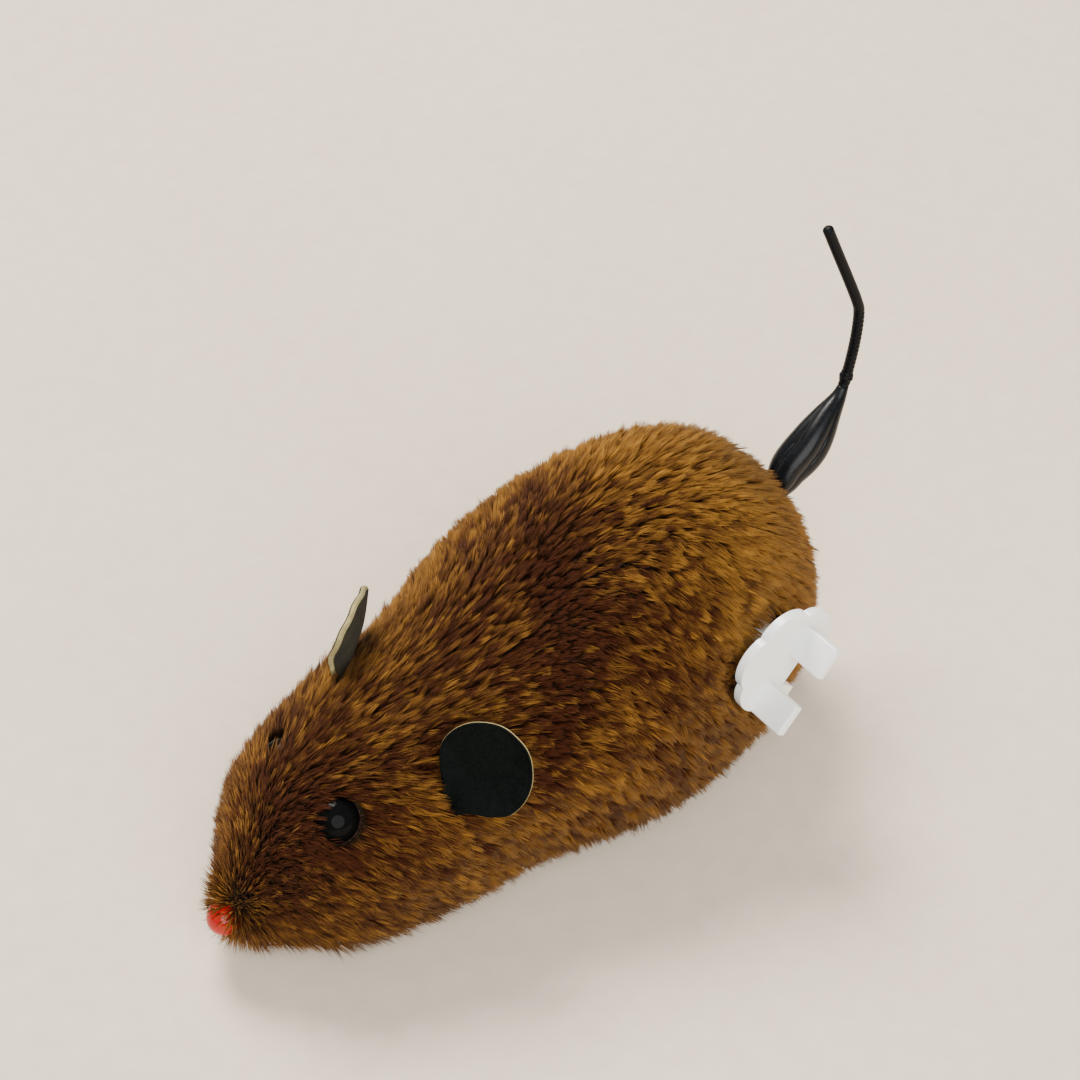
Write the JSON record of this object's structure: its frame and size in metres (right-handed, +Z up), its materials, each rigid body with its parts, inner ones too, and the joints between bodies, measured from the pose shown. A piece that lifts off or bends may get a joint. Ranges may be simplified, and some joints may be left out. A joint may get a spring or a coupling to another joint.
{
  "type": "clockwork mouse",
  "caption": "Plush-covered wind-up mouse toy with a side key, spring-driven rear wheels, disc ears, bead eyes and a stiff black tail.",
  "frame": {"origin": "on the floor, under the middle of the whole toy's box, tail and key included", "axes": "+X towards the nose, along the longest extent; +Y to the mouse's left, the key side; +Z up"},
  "size_m": [0.1062, 0.0505, 0.0611],
  "materials": {
    "plush": "brown long-pile plush, darker reddish roots and golden tips",
    "shell_plastic": "satin",
    "chassis_plastic": "satin black",
    "motor_plastic": "satin ivory",
    "gear_plastic": "satin ivory",
    "wheel_plastic": "semi-gloss black",
    "tyre_rubber": "matt black rubber",
    "brass": "stamped brass",
    "steel": "plain steel",
    "spring_steel": "blued spring steel",
    "key_plastic": "glossy white",
    "bead_black": "glossy black",
    "bead_red": "glossy translucent red",
    "ear_black": "matt black leatherette with a pale cut edge",
    "tail_black": "black leatherette, pleated at the root and wrapped along the cord"
  },
  "bodies": {
    "mouse": {"plush_cover": "plush", "body_shell": "shell_plastic", "chassis": "chassis_plastic", "boss_front": "shell_plastic", "boss_rear": "shell_plastic", "boss_screw_front": "steel", "boss_screw_rear": "steel", "eye_left": "bead_black", "eye_right": "bead_black", "nose": "bead_red", "ear_left": "ear_black", "ear_right": "ear_black", "tail_flare": "tail_black", "tail_cord": "tail_black", "motor_plate_left": "motor_plastic", "motor_plate_right": "motor_plastic", "pillar_1": "steel", "pillar_2": "steel", "pillar_3": "steel", "plate_screw_1": "steel", "plate_screw_2": "steel", "plate_screw_3": "steel", "mainspring": "spring_steel"},
    "winding_arbor": {"key": "key_plastic", "winding_arbor": "steel", "ratchet_wheel": "steel"},
    "great_wheel": {"great_wheel": "brass", "click_pin": "steel"},
    "click": {"click": "steel"},
    "second_shaft": {"second_shaft": "steel", "second_pinion": "brass", "second_wheel": "gear_plastic"},
    "rear_axle": {"rear_axle": "steel", "drive_pinion": "gear_plastic", "rear_wheel_left": "wheel_plastic", "rear_wheel_right": "wheel_plastic", "rear_tyre_left": "tyre_rubber", "rear_tyre_right": "tyre_rubber"},
    "front_axle": {"front_axle": "steel", "front_wheel_left": "wheel_plastic", "front_wheel_right": "wheel_plastic"}
  },
  "joints": [
    {"name": "key_spin", "type": "hinge", "parent": "mouse", "child": "winding_arbor", "pos_m": [-0.01984, -0.00214, 0.0243], "axis": [0, 1, 0], "continuous": true},
    {"name": "great_wheel_spin", "type": "hinge", "parent": "mouse", "child": "great_wheel", "pos_m": [-0.01984, -0.00214, 0.0243], "axis": [0, 1, 0], "continuous": true},
    {"name": "click_lift", "type": "hinge", "parent": "great_wheel", "child": "click", "pos_m": [-0.0136, -0.00214, 0.0279], "axis": [0, 1, 0], "range_deg": [0, 12], "stiffness_Nm_per_rad": 0.0001, "springref_deg": -17.19},
    {"name": "second_shaft_spin", "type": "hinge", "parent": "mouse", "child": "second_shaft", "pos_m": [-0.00991, -0.00214, 0.01712], "axis": [0, 1, 0], "continuous": true},
    {"name": "rear_axle_spin", "type": "hinge", "parent": "mouse", "child": "rear_axle", "pos_m": [-0.01434, -0.00214, 0.007], "axis": [0, 1, 0], "continuous": true},
    {"name": "front_axle_spin", "type": "hinge", "parent": "mouse", "child": "front_axle", "pos_m": [0.03066, -0.00214, 0.0068], "axis": [0, 1, 0], "continuous": true}
  ],
  "couplings": [
    {"joint": "great_wheel_spin", "follows": "key_spin", "ratio": 1},
    {"joint": "second_shaft_spin", "follows": "key_spin", "ratio": -3},
    {"joint": "rear_axle_spin", "follows": "key_spin", "ratio": 7.8}
  ]
}
